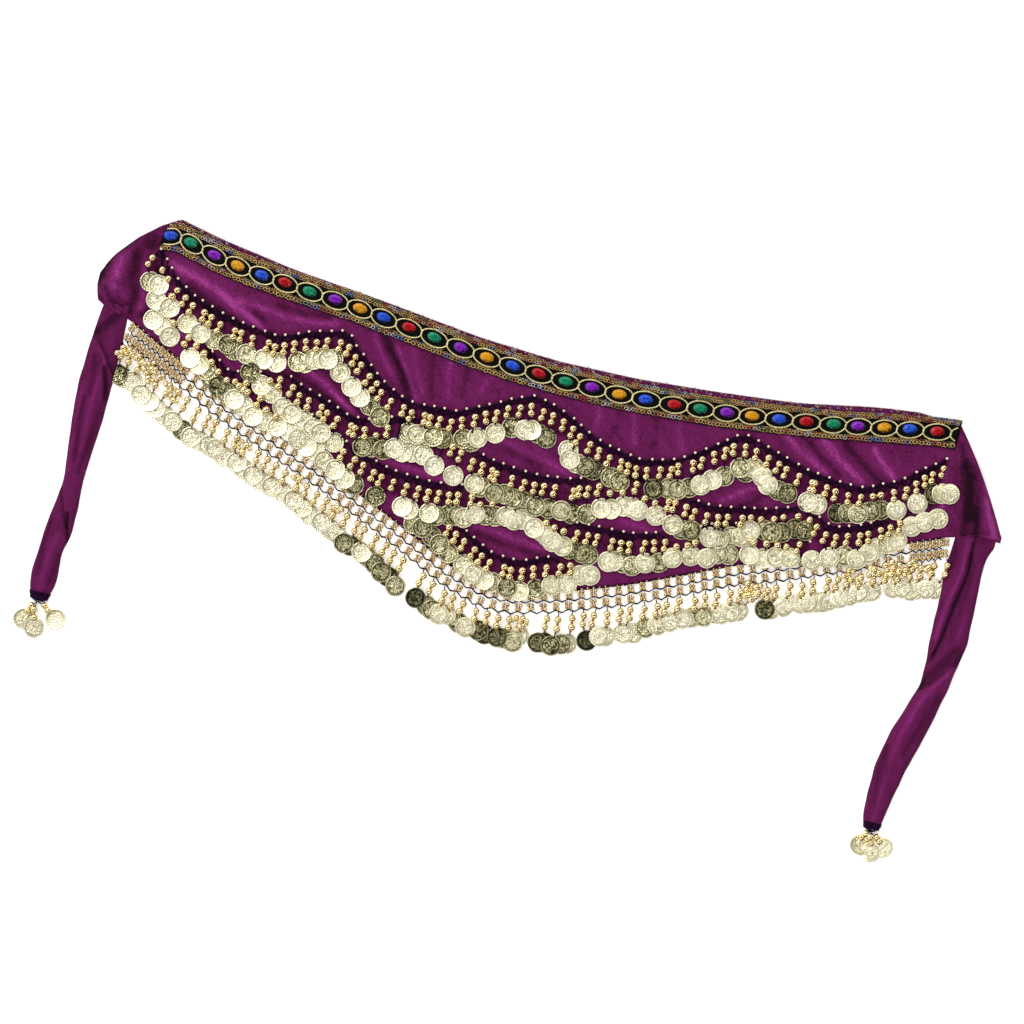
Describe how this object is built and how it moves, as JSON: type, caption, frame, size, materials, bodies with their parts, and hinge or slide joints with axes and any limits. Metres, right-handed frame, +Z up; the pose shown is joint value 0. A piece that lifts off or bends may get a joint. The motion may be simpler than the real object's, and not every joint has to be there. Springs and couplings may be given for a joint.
{
  "type": "belly dance hip scarf",
  "caption": "Velvet hip scarf laid flat: jewelled ribbon at the waist, swagged rows of beads and coins, a beaded net hem with coin dangles, and two ties.",
  "frame": {"origin": "bottom centre of the scarf's box, on the table it lies on", "axes": "+X along the waist to the right end as worn outside up, +Y from the hem to the waist edge, +Z up from the table"},
  "size_m": [0.9394, 0.4538, 0.011],
  "materials": {
    "velvet": "short-pile stretch velvet",
    "ribbon": "woven ribbon with metallic scroll edges",
    "coins": "thin stamped discs, pale gold plate",
    "net": "crocheted thread with gold beads",
    "beads": "metallised plastic, gold",
    "gems": "faceted acrylic, foiled back"
  },
  "bodies": {
    "root": {"body_panel": "velvet", "gem_ribbon": "ribbon", "coin_row_a": "coins", "coin_row_b": "coins", "coin_row_c": "coins", "coin_row_d": "coins", "hem_net": "net", "hem_coins_1": "coins", "hem_coins_2": "coins", "hem_coins_3": "coins", "hem_coins_4": "coins", "hem_coins_5": "coins", "left_tie": "velvet", "right_tie": "velvet", "left_pendants": "coins", "right_pendants": "coins"}
  },
  "joints": []
}
